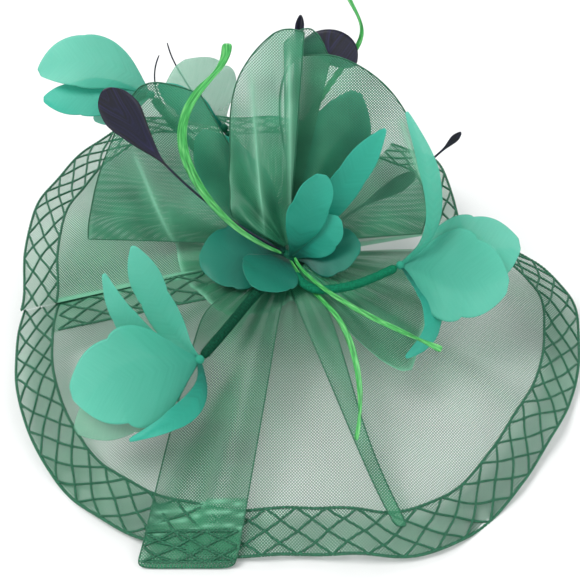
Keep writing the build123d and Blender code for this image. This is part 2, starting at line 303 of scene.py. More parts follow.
class Paint:
    """A material round one Principled shader, with short calls for the nodes that feed it."""

    def __init__(self, name, base, roughness, **sockets):
        self.material = bpy.data.materials.new(name)
        self.material.use_nodes = True
        self.tree = self.material.node_tree
        self.shader = self.tree.nodes["Principled BSDF"]
        self.set("Base Color", base)
        self.set("Roughness", roughness)
        for socket, value in sockets.items():
            self.set(socket.replace("_", " "), value)

    def set(self, socket, value):
        if isinstance(value, bpy.types.NodeSocket):
            self.tree.links.new(value, self.shader.inputs[socket])
        else:
            self.shader.inputs[socket].default_value = value

    def node(self, kind, inputs=(), **settings):
        node = self.tree.nodes.new(kind)
        for key, value in settings.items():
            setattr(node, key, value)
        for key, value in dict(inputs).items():
            if isinstance(value, bpy.types.NodeSocket):
                self.tree.links.new(value, node.inputs[key])
            else:
                node.inputs[key].default_value = value
        return node

    def math(self, operation, *values):
        return self.node("ShaderNodeMath", dict(enumerate(values)), operation=operation).outputs[0]

    def place(self, turn=(0, 0, 0), scale=(1, 1, 1)):
        """Object coordinates, turned by Euler angles and scaled."""
        source = self.node("ShaderNodeTexCoord").outputs["Object"]
        inputs = {"Vector": source, "Rotation": turn, "Scale": scale}
        return self.node("ShaderNodeMapping", inputs).outputs[0]

    def painted(self, name):
        return self.node("ShaderNodeAttribute", attribute_name=name).outputs["Fac"]

    def noise(self, where, scale, detail=3):
        inputs = {"Vector": where, "Scale": scale, "Detail": detail}
        return self.node("ShaderNodeTexNoise", inputs).outputs["Fac"]

    def ramp(self, share, *stops):
        """Colours over a share from 0 to 1, as (position, colour) stops."""
        node = self.node("ShaderNodeValToRGB", {"Fac": share})
        elements = node.color_ramp.elements
        while len(elements) < len(stops):
            elements.new(0.5)
        for element, (position, value) in zip(elements, stops):
            element.position = position
            element.color = value
        return node.outputs["Color"]

    def mix(self, share, first, second):
        node = self.node("ShaderNodeMix", data_type="RGBA")
        for socket, value in ((node.inputs[0], share), (node.inputs[6], first), (node.inputs[7], second)):
            if isinstance(value, bpy.types.NodeSocket):
                self.tree.links.new(value, socket)
            else:
                socket.default_value = value
        return node.outputs[2]

    def bump(self, height, distance, strength=1.0):
        node = self.node("ShaderNodeBump", {"Height": height, "Distance": distance, "Strength": strength})
        self.set("Normal", node.outputs[0])


def crin_paint(name, turn, light, dark):
    """Open nylon weave: threads both ways, as wide a share of the pitch as the corner value "cover" says. Its
    colour is mixed towards a pale green painted highlight as far as a second corner value says.
    """
    paint_ = Paint(name, light, 0.32, Specular_IOR_Level=0.6)
    where = paint_.place(turn)
    split = paint_.node("ShaderNodeSeparateXYZ", {"Vector": where})
    cover = paint_.painted("cover")
    half = paint_.math("MULTIPLY", cover, WEAVE_PITCH / 2)
    threads = []
    for axis in ("X", "Y"):
        away = paint_.math("PINGPONG", split.outputs[axis], WEAVE_PITCH / 2)
        edge = paint_.math("SUBTRACT", half, away)
        threads.append(paint_.math("MULTIPLY_ADD", edge, 1 / 0.00016, 0.5))
    thread = paint_.math("MAXIMUM", *threads)
    alpha = paint_.node("ShaderNodeClamp", {"Value": thread}).outputs[0]
    paint_.set("Alpha", alpha)
    cloudy = paint_.ramp(paint_.noise(paint_.place(), 26.0), (0.3, dark), (0.7, light))
    # painted highlight: pale green mixed over the cloudy thread colour where corners are marked, standing for
    # light caught on hems, folds and creases
    paint_.set("Base Color", paint_.mix(paint_.painted("painted_highlight"), cloudy, colour(150, 222, 186)))
    paint_.bump(thread, 0.0002, 0.5)
    return paint_.material


def petal_paint(name, foot, middle, tip, alpha=1.0):
    """Dyed feather satin: fine barbs slanting from the midline, deeper towards the foot."""
    paint_ = Paint(name, middle, 0.5, Sheen_Weight=0.15, Sheen_Roughness=0.4, Specular_IOR_Level=0.3)
    paint_.set("Subsurface Weight", 0.25)
    paint_.set("Subsurface Radius", (0.004, 0.008, 0.006))
    paint_.set("Subsurface Scale", 0.6)
    barb, reach = paint_.painted("barb"), paint_.painted("reach")
    line = paint_.math("SINE", paint_.math("MULTIPLY", barb, 2 * pi / 0.0012))
    streak_place = paint_.node("ShaderNodeCombineXYZ", {"X": barb, "Y": paint_.math("MULTIPLY", reach, 0.01)})
    streak = paint_.noise(streak_place.outputs[0], 420.0, 4)
    share = paint_.math("MULTIPLY_ADD", paint_.math("SUBTRACT", streak, 0.5), 0.35, reach)
    base = paint_.ramp(share, (0.0, foot), (0.3, middle), (1.0, tip))
    paint_.set("Base Color", base)
    paint_.bump(paint_.math("MULTIPLY_ADD", streak, 1.0, line), 0.00003, 0.25)
    if alpha < 1:
        paint_.set("Alpha", alpha)
    return paint_.material


def feather_paint():
    """Black feather with a blue and violet sheen along its barbs."""
    paint_ = Paint("black_feather", colour(20, 20, 40), 0.38, Sheen_Weight=0.5, Sheen_Roughness=0.3)
    paint_.set("Sheen Tint", colour(90, 90, 200))
    barb = paint_.painted("barb")
    reach = paint_.math("MULTIPLY", paint_.painted("reach"), 0.004)
    place = paint_.node("ShaderNodeCombineXYZ", {"X": barb, "Y": reach})
    streak = paint_.noise(place.outputs[0], 600.0, 4)
    paint_.set("Base Color", paint_.ramp(streak, (0.35, colour(10, 10, 20)), (0.6, colour(24, 24, 54)),
                                         (0.8, colour(44, 36, 86))))
    line = paint_.math("SINE", paint_.math("MULTIPLY", barb, 2 * pi / 0.0007))
    paint_.bump(line, 0.00004, 0.4)
    return paint_.material


def quill_paint():
    """Lime-dyed quill, fibrous along its length, with painted highlight lines along its lightest fibres."""
    paint_ = Paint("lime_quill", colour(90, 200, 70), 0.36, Specular_IOR_Level=0.6)
    place = paint_.node("ShaderNodeCombineXYZ", {"X": paint_.painted("across"),
                                                 "Y": paint_.math("MULTIPLY", paint_.painted("reach"), 0.02)})
    fibre = paint_.noise(place.outputs[0], 700.0, 2)
    # the lightest streaks are painted highlight lines along the quill; the darker streaks are the fibres' own
    # tone
    paint_.set("Base Color", paint_.ramp(fibre, (0.3, colour(28, 112, 48)), (0.52, colour(66, 176, 84)),
                                         (0.78, colour(136, 218, 132))))
    paint_.bump(fibre, 0.0003, 0.6)
    return paint_.material


def fibre_paint(name, dark, light, roughness=0.8, scale=900.0):
    """Fuzzy thread, felt or chenille: mottled, matt, with a sheen of its own colour."""
    paint_ = Paint(name, light, roughness, Sheen_Weight=0.3, Sheen_Roughness=0.5, Sheen_Tint=light)
    paint_.set("Specular IOR Level", 0.15)
    speckle = paint_.noise(paint_.place(), scale, 4)
    paint_.set("Base Color", paint_.ramp(speckle, (0.3, dark), (0.7, light)))
    paint_.bump(speckle, 0.0003, 0.8)
    return paint_.material


def yarn_paint():
    """Glossy twisted yarn of the lattice and selvedges."""
    paint_ = Paint("lattice_yarn", colour(18, 110, 78), 0.45, Specular_IOR_Level=0.5)
    speckle = paint_.noise(paint_.place(), 1200.0, 2)
    paint_.set("Base Color", paint_.ramp(speckle, (0.3, colour(10, 64, 44)), (0.6, colour(26, 110, 76)),
                                         (0.78, colour(84, 180, 138))))
    return paint_.material


def buckram_paint():
    """Stiff open cotton net, as a raised grid."""
    paint_ = Paint("buckram", colour(20, 70, 52), 0.85)
    split = paint_.node("ShaderNodeSeparateXYZ", {"Vector": paint_.place()})
    ways = [paint_.math("PINGPONG", split.outputs[axis], 0.0006) for axis in ("X", "Y")]
    weave = paint_.math("MULTIPLY", paint_.math("MINIMUM", *ways), 1600.0)
    paint_.set("Base Color", paint_.ramp(weave, (0.1, colour(34, 96, 72)), (0.8, colour(10, 40, 30))))
    paint_.bump(weave, -0.0003)
    return paint_.material


def steel_paint():
    """Plated spring steel, faintly brushed along the clip."""
    paint_ = Paint("clip_steel", colour(196, 198, 202), 0.22, Metallic=1.0)
    brush = paint_.noise(paint_.place(scale=(1, 30, 30)), 500.0, 2)
    paint_.set("Roughness", paint_.math("MULTIPLY_ADD", brush, 0.2, 0.14))
    paint_.bump(brush, 0.00004, 0.5)
    return paint_.material


def floor_paint():
    return Paint("floor", (0.86, 0.86, 0.85, 1), 0.9).material


QUARTER = pi / 4
GREEN, DEEP_GREEN = colour(48, 140, 98), colour(24, 104, 72)
crin_flat = crin_paint("crin_flat", (0, 0, QUARTER), GREEN, DEEP_GREEN)
# the upright fans' light green is lighter than crin_flat's: painted light standing for the sheen on the fans
crin_upright = crin_paint("crin_upright", (FAN_LEAN - pi / 2, 0, QUARTER), colour(56, 150, 110), DEEP_GREEN)
lattice_yarn = yarn_paint()
petal_deep = petal_paint("petal_deep", colour(2, 50, 42), colour(10, 98, 82), colour(18, 118, 98))
petal_mint = petal_paint("petal_mint", colour(48, 156, 130), colour(68, 176, 148), colour(96, 200, 172), 0.78)
petal_bright = petal_paint("petal_bright", colour(4, 84, 70), colour(20, 138, 116), colour(50, 168, 144))
petal_pale = petal_paint("petal_pale", colour(60, 130, 100), colour(92, 158, 128), colour(126, 186, 156),
                         0.55)
black_feather = feather_paint()
lime_quill = quill_paint()
chenille_dark = fibre_paint("chenille_dark", colour(2, 44, 30), colour(10, 86, 60))
chenille_bright = fibre_paint("chenille_bright", colour(2, 84, 58), colour(14, 132, 94))
felt = fibre_paint("felt", colour(8, 50, 38), colour(18, 84, 62), 0.95)
neck_thread = fibre_paint("neck_thread", colour(30, 130, 104), colour(66, 176, 148), 0.6, 2500.0)
thread = fibre_paint("thread", colour(6, 66, 48), colour(20, 110, 80), 0.6, 2500.0)
buckram = buckram_paint()
steel = steel_paint()


# ---------------------------------------------------------------- crin shapes

class Fanned:
    """A CAD sheet that fans out from a point: its outer edge by angle, in the plane of two axes."""

    def __init__(self, node, origin, up, front, step):
        self.origin, self.up, self.front = origin, up, front
        offset = corners_of(node) - origin
        across, rise, height = offset[:, 0], offset @ up, offset @ front
        angle, reach = np.degrees(np.arctan2(rise, across)), np.hypot(across, rise)
        count = round((angle.max() - angle.min()) / step)
        column = np.round((angle - angle.min()) / np.ptp(angle) * count)
        self.angles = np.linspace(angle.min(), angle.max(), count + 1)
        self.reaches, self.heights = [], []
        for k in range(count + 1):
            outer = (column == k) & (reach > reach[column == k].max() - 0.003)
            self.reaches.append(reach[outer].mean())
            self.heights.append(height[outer].mean())

    def edge(self, angle):
        """Reach and height of the outer edge, eased between the CAD's straight runs."""
        spacing = self.angles[1] - self.angles[0]
        around = [np.clip(angle + spacing * s, self.angles[0], self.angles[-1]) for s in (-0.4, 0, 0.4)]
        reach = sum(np.interp(a, self.angles, self.reaches) for a in around) / 3
        height = sum(np.interp(a, self.angles, self.heights) for a in around) / 3
        return reach, height

    def at(self, angle, radius, height):
        turn = np.radians(angle)
        flat = radius * np.cos(turn)
        rise = radius * np.sin(turn)
        return (self.origin + flat[..., None] * np.array((1.0, 0, 0)) + rise[..., None] * self.up
                + height[..., None] * self.front)


def gaussian(value, centre, width):
    return np.exp(-((value - centre) / width) ** 2)


def off_line(across, rise, start, end):
    """Distance of points in a plane from the line between two points, and 0 to 1 where they are beside it."""
    start, end = np.array(start), np.array(end)
    along = end - start
    length = np.hypot(*along)
    share = ((across - start[0]) * along[0] + (rise - start[1]) * along[1]) / length ** 2
    away = ((across - start[0]) * along[1] - (rise - start[1]) * along[0]) / length
    beside = np.clip((share + 0.08) / 0.16, 0, 1) * np.clip((1.08 - share) / 0.16, 0, 1)
    return away, beside


def brim_outline(name):
    return Fanned(f"{name}_border", np.zeros(3), np.array((0, 1.0, 0)), UP, BRIM_STEP)


def brim_rise(bearing, radius):
    """Folds of the brim: close pleats at the gather, and slow waves towards the edge."""
    gather = gaussian(radius, 0.05, 0.035)
    slow = np.clip((radius - 0.07) / 0.16, 0, 1)
    turn = np.radians(bearing)
    pleats = 0.0010 * gather * np.sin(40 * turn + 3 * np.sin(2 * turn))
    return pleats + 0.0030 * slow * np.sin(9 * turn + 0.6) + 0.0016 * slow * np.sin(23 * turn + 1.4)


def brim_height(panel, bearing, radius, lift=0.0):
    reach, edge_height = panel.edge(bearing)
    fall = np.maximum(0, radius - BRIM_FLAT) / (reach - BRIM_FLAT)
    return BRIM_HEIGHT + (edge_height - BRIM_HEIGHT) * fall ** BRIM_CURVE + brim_rise(bearing, radius) + lift


def brim_panel(name, creases, sheer, collar=None, side_band=False, overlap=0.0):
    """The mesh and lattice border of a brim panel. creases are (bearing, width) of its denser folds, overlap
    the degrees by which the cloth passes the start of the next panel."""
    panel = brim_outline(name)
    first, last = panel.angles[0], panel.angles[-1] + overlap
    bearings = np.linspace(first, last, round((last - first) * 1.6))
    reach, _ = panel.edge(bearings)
    shares = np.linspace(0, 1, 60) ** 1.2
    rows = BRIM_INNER + (reach - BORDER_WIDTH - BRIM_INNER)[None] * shares[:, None]
    angle = np.broadcast_to(bearings, rows.shape)
    mesh = grid_mesh(f"crin_{name}", panel.at(angle, rows, brim_height(panel, angle, rows)))
    cover = sheer + 0.45 * np.exp(-np.maximum(0, rows - BRIM_FLAT) / 0.022)
    for bearing, width in creases:
        cover = cover + 0.22 * gaussian(angle, bearing, width) * (0.3 + 0.7 * (1 - shares[:, None]))
    hem = np.minimum(angle - first, last - angle) * pi / 180 * rows
    cover = cover + 0.4 * (hem < HEM)
    if side_band:
        cover = cover + 0.28 * ((angle - first) * pi / 180 * rows < BORDER_WIDTH)
    paint(mesh, "cover", np.clip(cover, 0, MOST_COVER).ravel())
    # painted highlight along the hem
    paint(mesh, "painted_highlight", (0.4 * (hem < HEM)).ravel())
    sheet = piece(f"crin_{name}", mesh, crin_flat, "headpiece", [f"{name}_mesh"])
    border(name, panel, bearings)
    if side_band:
        side_lattice(name, panel, first)
    if collar:
        folded_collar(name, panel, collar)


def lattice(run, length, height, cell):
    """Crossing yarns over a band, and its two edge cords. run(along, up) gives its points, from metres."""
    parts = []
    clear = height - 2 * EDGE_INSET
    for share in (0, 1):
        along = np.linspace(0, length, max(8, round(length / 0.004)))
        up = np.full(len(along), EDGE_INSET + clear * share)
        parts += two_ply(run(along, up), YARN * 1.1, SELVEDGE_TURN)
    cells = max(1, round(length / cell))
    cell = length / cells
    for k in range(-1, cells + 1):
        for way in (1, -1):
            t = np.linspace(0, 1, 20)
            along = (k + (0 if way > 0 else 2)) * cell + way * 2 * cell * t
            inside = (along >= 0) & (along <= length)
            if inside.sum() < 3:
                continue
            wobble = 0.0010 * np.sin(7 * t + 2.3 * k + way)
            up = EDGE_INSET + clear * t + wobble * t * (1 - t) * 4
            parts += two_ply(run(along[inside], up[inside]), YARN, YARN_TURN)
    return parts


def yarn_piece(name, parts):
    return piece(name, joined(name, parts), lattice_yarn, "headpiece")


def border(name, panel, bearings):
    """The dense edge band, its lattice of twisted yarn and its selvedge cords."""
    reach, _ = panel.edge(bearings)
    shares = np.linspace(0, 1, 13)
    rows = (reach - BORDER_WIDTH)[None] + BORDER_WIDTH * shares[:, None]
    angle = np.broadcast_to(bearings, rows.shape)
    mesh = grid_mesh(f"crin_{name}_border", panel.at(angle, rows, brim_height(panel, angle, rows)))
    selvedge = np.abs(np.repeat(shares, len(bearings)) - 0.5) > 0.44
    paint(mesh, "cover", 0.34 + 0.3 * selvedge)
    sheet = piece(f"crin_{name}_border", mesh, crin_flat, "headpiece", [f"{name}_border"])
    rim = panel.at(bearings, reach, brim_height(panel, bearings, reach))
    arc = np.concatenate(([0], np.cumsum(np.linalg.norm(np.diff(rim, axis=0), axis=1))))

    def run(along, inset):
        bearing = np.interp(along, arc, bearings)
        radius = panel.edge(bearing)[0] - inset
        return panel.at(bearing, radius, brim_height(panel, bearing, radius, lift=YARN))

    yarn = yarn_piece(f"lattice_{name}", lattice(run, arc[-1], BORDER_WIDTH, CELL))


def side_lattice(name, panel, bearing):
    """The lattice where the border turns the corner and runs in along the panel's side."""
    start = 0.07
    length = float(panel.edge(bearing)[0]) - BORDER_WIDTH - start

    def run(along, inset):
        radius = start + along
        turned = bearing + np.degrees(np.arcsin(np.clip(inset / radius, 0, 1)))
        return panel.at(turned, radius, brim_height(panel, turned, radius, lift=YARN))

    yarn_piece(f"lattice_{name}_side", lattice(run, length, BORDER_WIDTH, CELL))


def folded_collar(name, panel, outline):
    """The brim's cloth folded back round the gather: a second layer, with a painted highlight along the fold
    at its edge.
    """
    table = np.array(outline)
    behind = brim_outline("brim_back_left")
    first, last = table[0, 0], table[-1, 0]
    bearings = np.linspace(first, last, round((last - first) * 1.4))
    nearby = [np.clip(bearings + s, first, last) for s in (-3, 0, 3)]
    reach = sum(np.interp(b, table[:, 0], table[:, 1]) for b in nearby) / 3 * MILLIMETRE
    shares = np.linspace(0, 1, 40)
    rows = BRIM_INNER + (reach - BRIM_INNER)[None] * shares[:, None]
    angle = np.broadcast_to(bearings, rows.shape)
    turn = np.radians(angle)
    lift = 0.0012 + 0.0016 * np.sin(11 * turn) * shares[:, None] * np.exp(-rows / 0.15) ** 0.5
    height = np.where(angle < panel.angles[0] - 2, brim_height(behind, angle + 360, rows, lift),
                      brim_height(panel, angle, rows, lift))
    mesh = grid_mesh(f"crin_{name}_collar", panel.at(angle, rows, height))
    fold = np.clip(1 - (reach[None] - rows) / HEM, 0, 1)
    cover = 0.48 + 0.3 * np.exp(-rows / 0.03) + 0.4 * fold + 0.07 * np.sin(17 * turn + 2 * np.sin(5 * turn))
    paint(mesh, "cover", np.clip(cover, 0, MOST_COVER).ravel())
    # painted highlight along the fold at the collar's edge
    paint(mesh, "painted_highlight", (0.5 * fold).ravel())
    sheet = piece(f"crin_{name}_collar", mesh, crin_flat, "headpiece")


def fan(name, forward=0.0, bow=0.0, pleats=2, depth=0.003, cover=0.46, creases=()):
    """An upright crin fan with broad folds and a corded edge.

    forward and bow shift and curve it in its thickness, and creases are sharp folds, each between two points
    of the fan's plane in millimetres; each is raised, denser and marked with a painted highlight.
    """
    up = np.array((0, sin(FAN_LEAN), cos(FAN_LEAN)))
    front = np.array((0, -cos(FAN_LEAN), sin(FAN_LEAN)))
    shape = Fanned(name, FAN_ORIGIN, up, front, FAN_STEP)
    first, last = shape.angles[0], shape.angles[-1]
    angles = np.linspace(first, last, round((last - first) * 2.6))
    reach, _ = shape.edge(angles)
    shares = np.linspace(0, 1, 110)
    rows = FAN_INNER + (reach - FAN_INNER)[None] * shares[:, None]
    angle, share = np.broadcast_to(angles, rows.shape), np.broadcast_to(shares[:, None], rows.shape)
    turn = (angle - first) / (last - first)
    fold = np.sin(pleats * 2 * pi * turn + 0.5)
    swell = np.sin(pi * np.minimum(1, share * 1.1) * 0.75)
    height = forward + bow * np.sin(pi * share) + depth * fold * swell
    dense = cover + 0.4 * np.exp(-rows / 0.05) + 0.08 * fold * share
    painted_highlight = 0.0 * rows
    across, rise = rows * np.cos(np.radians(angle)), rows * np.sin(np.radians(angle))
    for start, end in creases:
        away, beside = off_line(across, rise, np.array(start) * MILLIMETRE, np.array(end) * MILLIMETRE)
        sharp = beside * np.exp(-np.abs(away) / 0.0022)
        height = height + 0.0022 * sharp
        dense = dense + 0.22 * sharp + 0.1 * beside * (away > 0) * (away < 0.02)
        # painted highlight along the crease
        painted_highlight = painted_highlight + 0.7 * sharp
    mesh = grid_mesh(f"crin_{name}", shape.at(angle, rows, height))
    paint(mesh, "cover", np.clip(dense, 0, MOST_COVER).ravel())
    paint(mesh, "painted_highlight", np.clip(painted_highlight, 0, 1).ravel())
    sheet = piece(f"crin_{name}", mesh, crin_upright, "headpiece", [name])
    grid = points(mesh).reshape(rows.shape + (3,))
    loop = np.concatenate((grid[:, 0], grid[-1, 1:], grid[::-1, -1][1:]))
    cord = yarn_piece(f"edge_{name}", [tube(resampled(loop, CORD_STEP), CORD_RADIUS, 5)])


def tail(name, cover, folded_from=None):
    """A strip of crin over the brim, with corded sides. Past the y of folded_from it is a doubled band with
    folds marked by painted highlight lines, and a lattice."""
    mesh = skin(name, (0, -0.3, 1), 4)
    place = points(mesh)
    dense = cover + 0.25 * np.exp(-np.hypot(place[:, 0], place[:, 1]) / 0.05)
    painted_highlight = 0 * dense
    if folded_from is not None:
        dense = dense + 0.3 * (place[:, 1] < folded_from)
        wave = folded_from - 0.004 + 0.003 * np.sin(place[:, 0] / 0.011)
        # painted highlight lines along the band's folds
        for step in (0, -0.007, -0.016):
            painted_highlight = painted_highlight + 0.5 * gaussian(place[:, 1], wave + step, 0.0009)
    paint(mesh, "cover", np.clip(dense + 0.4 * painted_highlight, 0, MOST_COVER))
    paint(mesh, "painted_highlight", np.clip(painted_highlight, 0, 1))
    line = max(edge_loops(mesh), key=len)
    parts = [tube(resampled(line, CORD_STEP), CORD_RADIUS, 5)]
    if folded_from is not None:
        parts += tail_lattice(mesh, folded_from - 0.018)
    cord = yarn_piece(f"edge_{name}", parts)
    sheet = piece(f"crin_{name}", mesh, crin_flat, "headpiece", [name])


def tail_lattice(mesh, upper_y):
    """Lattice yarns on the strip's last stretch, laid on its surface from above."""
    surface = bvhtree.BVHTree.FromPolygons([v.co for v in mesh.vertices], [p.vertices for p in mesh.polygons])
    place = points(mesh)
    band = place[place[:, 1] < upper_y]
    left, right, bottom = band[:, 0].min() + 0.002, band[:, 0].max() - 0.003, band[:, 1].min()

    def run(along, inset):
        line = []
        for x, y in zip(left + along, bottom + inset * (upper_y - bottom) / BORDER_WIDTH):
            spot, normal, _, _ = surface.find_nearest((x, y, band[:, 2].mean()))
            line.append(np.array(spot) + np.array(normal) * YARN)
        return np.array(line)

    return lattice(run, right - left, BORDER_WIDTH, CELL * 0.8)


# ---------------------------------------------------------------- petals, feathers, quills

class Leaf:
    """A smoothed CAD leaf and each corner's place on it: its reach from foot to tip, its share of the
    half width."""

    def __init__(self, node, core, front, levels):
        self.mesh = skin(node, front, levels)
        place = points(self.mesh)
        from_core = np.linalg.norm(place - core, axis=1)
        self.foot = place[from_core < from_core.min() + 0.003].mean(axis=0)
        from_foot = np.linalg.norm(place - self.foot, axis=1)
        tip = place[from_foot > from_foot.max() - 0.001].mean(axis=0)
        self.length = np.linalg.norm(tip - self.foot)
        self.axis = (tip - self.foot) / self.length
        side = np.cross(self.axis, normals(self.mesh).mean(axis=0))
        self.side = side / np.linalg.norm(side)
        self.reach = np.clip((place - self.foot) @ self.axis / self.length, 0, 1)
        across = (place - self.foot) @ self.side
        columns = np.round(self.reach * 24)
        found = np.unique(columns)
        high = np.array([across[columns == k].max() for k in found])
        low = np.array([across[columns == k].min() for k in found])
        self.across = across - np.interp(self.reach * 24, found, (high + low) / 2)
        half = np.maximum(np.interp(self.reach * 24, found, (high - low) / 2), 0.0005)
        self.share = np.clip(self.across / half, -1, 1)
        self.half = half.max()


def petal(node, body, core, material, seed, full=0.24, blunt=0.0):
    """A feather petal: the CAD leaf smoothed, curled, ruffled and given a thin body. full widens it near its
    foot and blunt near its tip."""
    leaf = Leaf(node, core, (0, -0.7, 0.7), 3)
    mesh, reach, share = leaf.mesh, leaf.reach, leaf.share
    place, facing = points(mesh), normals(mesh)
    belly = np.sin(pi * np.clip(reach / 0.62, 0, 1)) ** 0.6 * (reach < 0.62)
    place = place + leaf.side * (share * belly * leaf.half * full)[:, None]
    rounding = np.sin(pi * np.clip((reach - 0.55) / 0.45, 0, 1)) ** 0.7
    place = place + leaf.side * (share * rounding * leaf.half * blunt)[:, None]
    root = np.clip(1 - reach / 0.12, 0, 1) ** 2
    place = place + (core - leaf.foot) * (root * 0.6)[:, None]
    edge = np.abs(share)
    wave = RUFFLE * edge ** 2 * np.sin(6 * reach + 1.7 * seed + 1.2 * np.sign(share))
    wave = wave + 0.3 * RUFFLE * edge * np.sin(17 * reach + seed) - 0.05 * leaf.half * edge ** 2
    wave = wave - 0.06 * leaf.length * np.clip(reach - 0.6, 0, 1) ** 2
    move(mesh, place + facing * wave[:, None])
    paint(mesh, "reach", reach)
    paint(mesh, "barb", reach * leaf.length - 0.9 * np.abs(leaf.across))
    thick = modified(mesh, "SOLIDIFY", thickness=PETAL_THICKNESS, offset=0.0)
    return piece(f"leaf_{node}", thick, material, body, [node])


def black(node, core):
    """A black feather: smoothed, ridged along its shaft, with slanting barbs."""
    leaf = Leaf(node, core, (0, -0.8, 0.5), 2)
    paint(leaf.mesh, "reach", leaf.reach)
    paint(leaf.mesh, "barb", leaf.reach * leaf.length * 0.3 - 1.0 * np.abs(leaf.across))
    ridge = 0.0006 * np.exp(-(leaf.across / 0.0006) ** 2)
    move(leaf.mesh, points(leaf.mesh) + normals(leaf.mesh) * ridge[:, None])
    thick = modified(leaf.mesh, "SOLIDIFY", thickness=FEATHER_THICKNESS, offset=0.0)
    piece(f"vane_{node}", thick, black_feather, "headpiece", [node])


def quill(node, core):
    """A lime quill: smoothed, and creased along its middle."""
    leaf = Leaf(node, core, (0, -0.7, 0.7), 3)
    mesh = leaf.mesh
    place = points(mesh)
    from_foot = np.linalg.norm(place - leaf.foot, axis=1)
    reach = from_foot / from_foot.max()
    paint(mesh, "reach", reach)
    paint(mesh, "across", leaf.across)
    crease = 0.0009 * (np.abs(leaf.share) - 0.4)
    move(mesh, place + normals(mesh) * crease[:, None])
    thick = modified(mesh, "SOLIDIFY", thickness=QUILL_THICKNESS, offset=0.0)
    piece(f"strip_{node}", thick, lime_quill, "headpiece", [node])


def smooth_line(route, count):
    """A rounded line through the corners of a route."""
    curve = bpy.data.curves.new("route", "CURVE")
    curve.dimensions = "3D"
    spline = curve.splines.new("NURBS")
    spline.points.add(len(route) - 1)
    for point, place in zip(spline.points, route):
        point.co = (*place, 1)
    spline.order_u = 3
    spline.use_endpoint_u = True
    spline.resolution_u = count
    obj = bpy.data.objects.new("route", curve)
    line = bpy.data.meshes.new_from_object(obj)
    found = points(line)
    bpy.data.objects.remove(obj)
    return found


def chenille(node, route, core, material, ridge):
    """A pipe-cleaner stem: a dense velvet body, ridged where its pile winds round, with short hairs."""
    line = [np.array(p) * MILLIMETRE for p in route] + [np.array(core)]
    path = resampled(smooth_line(line, 24), CHENILLE_STEP)
    along = np.gradient(path, axis=0)
    along /= np.linalg.norm(along, axis=1)[:, None]
    across = np.cross(along, UP)
    across /= np.linalg.norm(across, axis=1)[:, None]
    over = np.cross(along, across)
    travelled = np.arange(len(path)) * CHENILLE_STEP
    radius = STEM_RADIUS * (0.92 + ridge * np.cos(2 * pi * travelled / CHENILLE_RIDGE))
    from_end = np.minimum(travelled, travelled[-1] - travelled)
    radius = radius * np.sqrt(np.clip(from_end / STEM_RADIUS, 0.02, 1))
    rng = np.random.default_rng(len(path))
    corners, faces = [], []
    for k in range(len(path)):
        for _ in range(HAIRS_A_STEP):
            angle = rng.uniform(0, 2 * pi)
            out = cos(angle) * across[k] + sin(angle) * over[k]
            root = path[k] + out * radius[k] * 0.9
            lean = along[k] * rng.normal(0, 0.2)
            tip = path[k] + (out + lean) * (radius[k] + STEM_RADIUS * rng.uniform(0.05, 0.17))
            width = np.cross(out, along[k]) * HAIR_WIDTH
            start = len(corners)
            corners += [root - width, root + width, tip]
            faces.append((start, start + 1, start + 2))
    parts = [tube(path, radius, 20), (np.array(corners), faces)]
    piece(f"pile_{node}", joined(f"pile_{node}", parts), material, "headpiece", [node])


def wound_ball(node, body, material):
    """A neck bound with thread: a core wrapped by a winding strand."""
    low, high = (np.array(c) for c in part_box(node))
    centre, radius = (low + high) / 2, (high[0] - low[0]) / 2 * NECK_SHARE
    t = np.linspace(0, 1, 700)
    turn, tilt = t * 2 * pi * 22, (t - 0.5) * pi * 0.96
    ring = np.stack((np.cos(turn) * np.cos(tilt), np.sin(tilt), np.sin(turn) * np.cos(tilt)), axis=1)
    strand = centre + ring * (radius - 0.0004)
    latitude = np.linspace(-pi / 2, pi / 2, 14)[1:-1]
    inner = centre + np.stack((0 * latitude, np.sin(latitude), 0 * latitude), axis=1) * (radius - 0.0006)
    core = tube(inner, (radius - 0.0006) * np.cos(latitude), 16)
    piece(f"wound_{node}", joined(f"wound_{node}", [tube(strand, 0.0004, 5), core]), material,
          body, [node])


def binding():
    """The centre stub of the gathered crin, bound with thread."""
    low, high = (np.array(c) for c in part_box("centre_binding"))
    centre, radius = (low + high) / 2, (high[0] - low[0]) / 2
    t = np.linspace(0, 1, 1300)
    turn = t * 2 * pi * 26
    lift = low[2] + 0.0008 + t * (high[2] - low[2] - 0.003)
    winding = radius - 0.0005
    strand = np.stack((centre[0] + np.cos(turn) * winding, centre[1] + np.sin(turn) * winding, lift), axis=1)
    heights = np.linspace(low[2], high[2] - 0.0002, 12)
    dome = np.clip((high[2] - heights) / 0.004, 0.35, 1) ** 0.5
    stub = tube(np.stack((0 * heights, 0 * heights, heights), axis=1), (radius - 0.0009) * dome, 20)
    mesh = joined("wound_binding", [tube(strand, 0.0005, 5), stub])
    piece("wound_binding", mesh, thread, "headpiece", ["centre_binding"])


def pad_stitches():
    """A ring of slanting overcast stitches round the pad."""
    _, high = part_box("felt_base_pad")
    radius = high.x - 0.0012
    parts = []
    for k in range(56):
        a = 2 * pi * k / 56
        b = a + 0.05
        top = high.z + 0.0002
        line = [(radius * 0.955 * cos(a), radius * 0.955 * sin(a), top - 0.0004),
                (radius * 0.965 * cos(a), radius * 0.965 * sin(a), top),
                (radius * cos(b), radius * sin(b), top - 0.0001),
                ((radius + 0.0009) * cos(b), (radius + 0.0009) * sin(b), top - 0.0012)]
        parts.append(tube(line, 0.00035, 5))
    piece("pad_stitches", joined("pad_stitches", parts), thread, "headpiece")


# ---------------------------------------------------------------- camera, light and floor

